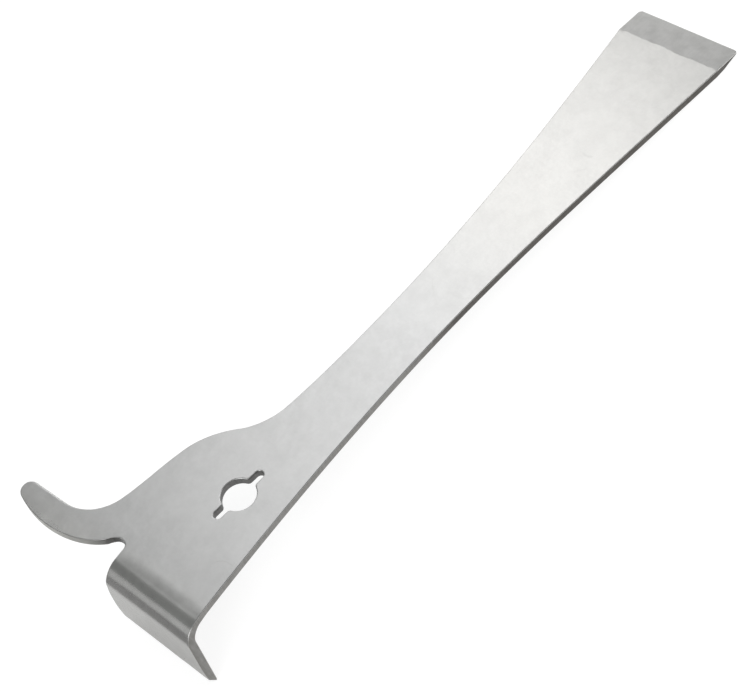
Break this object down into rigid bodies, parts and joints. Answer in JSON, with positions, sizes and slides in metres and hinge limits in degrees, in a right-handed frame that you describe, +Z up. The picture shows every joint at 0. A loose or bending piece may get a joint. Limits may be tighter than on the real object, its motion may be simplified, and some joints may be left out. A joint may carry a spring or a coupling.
{
  "type": "hive tool",
  "caption": "One-piece bent steel hand tool with a flared pry blade, a slim waisted handle, a side lifting hook, a slotted hanging hole and a turned-down scraper flange.",
  "frame": {"origin": "centre of the footprint on the bench, with the tool lying on its flange edge and the heel of its blade", "axes": "+X along the tool from the scraper flange to the blade, +Y across it towards the hook, +Z up from the bench"},
  "size_m": [0.2668, 0.0788, 0.0309],
  "materials": {
    "satin_stainless": "satin, lightly marked stainless plate with ground bevels at both working edges"
  },
  "bodies": {
    "root": {"hive_tool": "satin_stainless"}
  },
  "joints": []
}
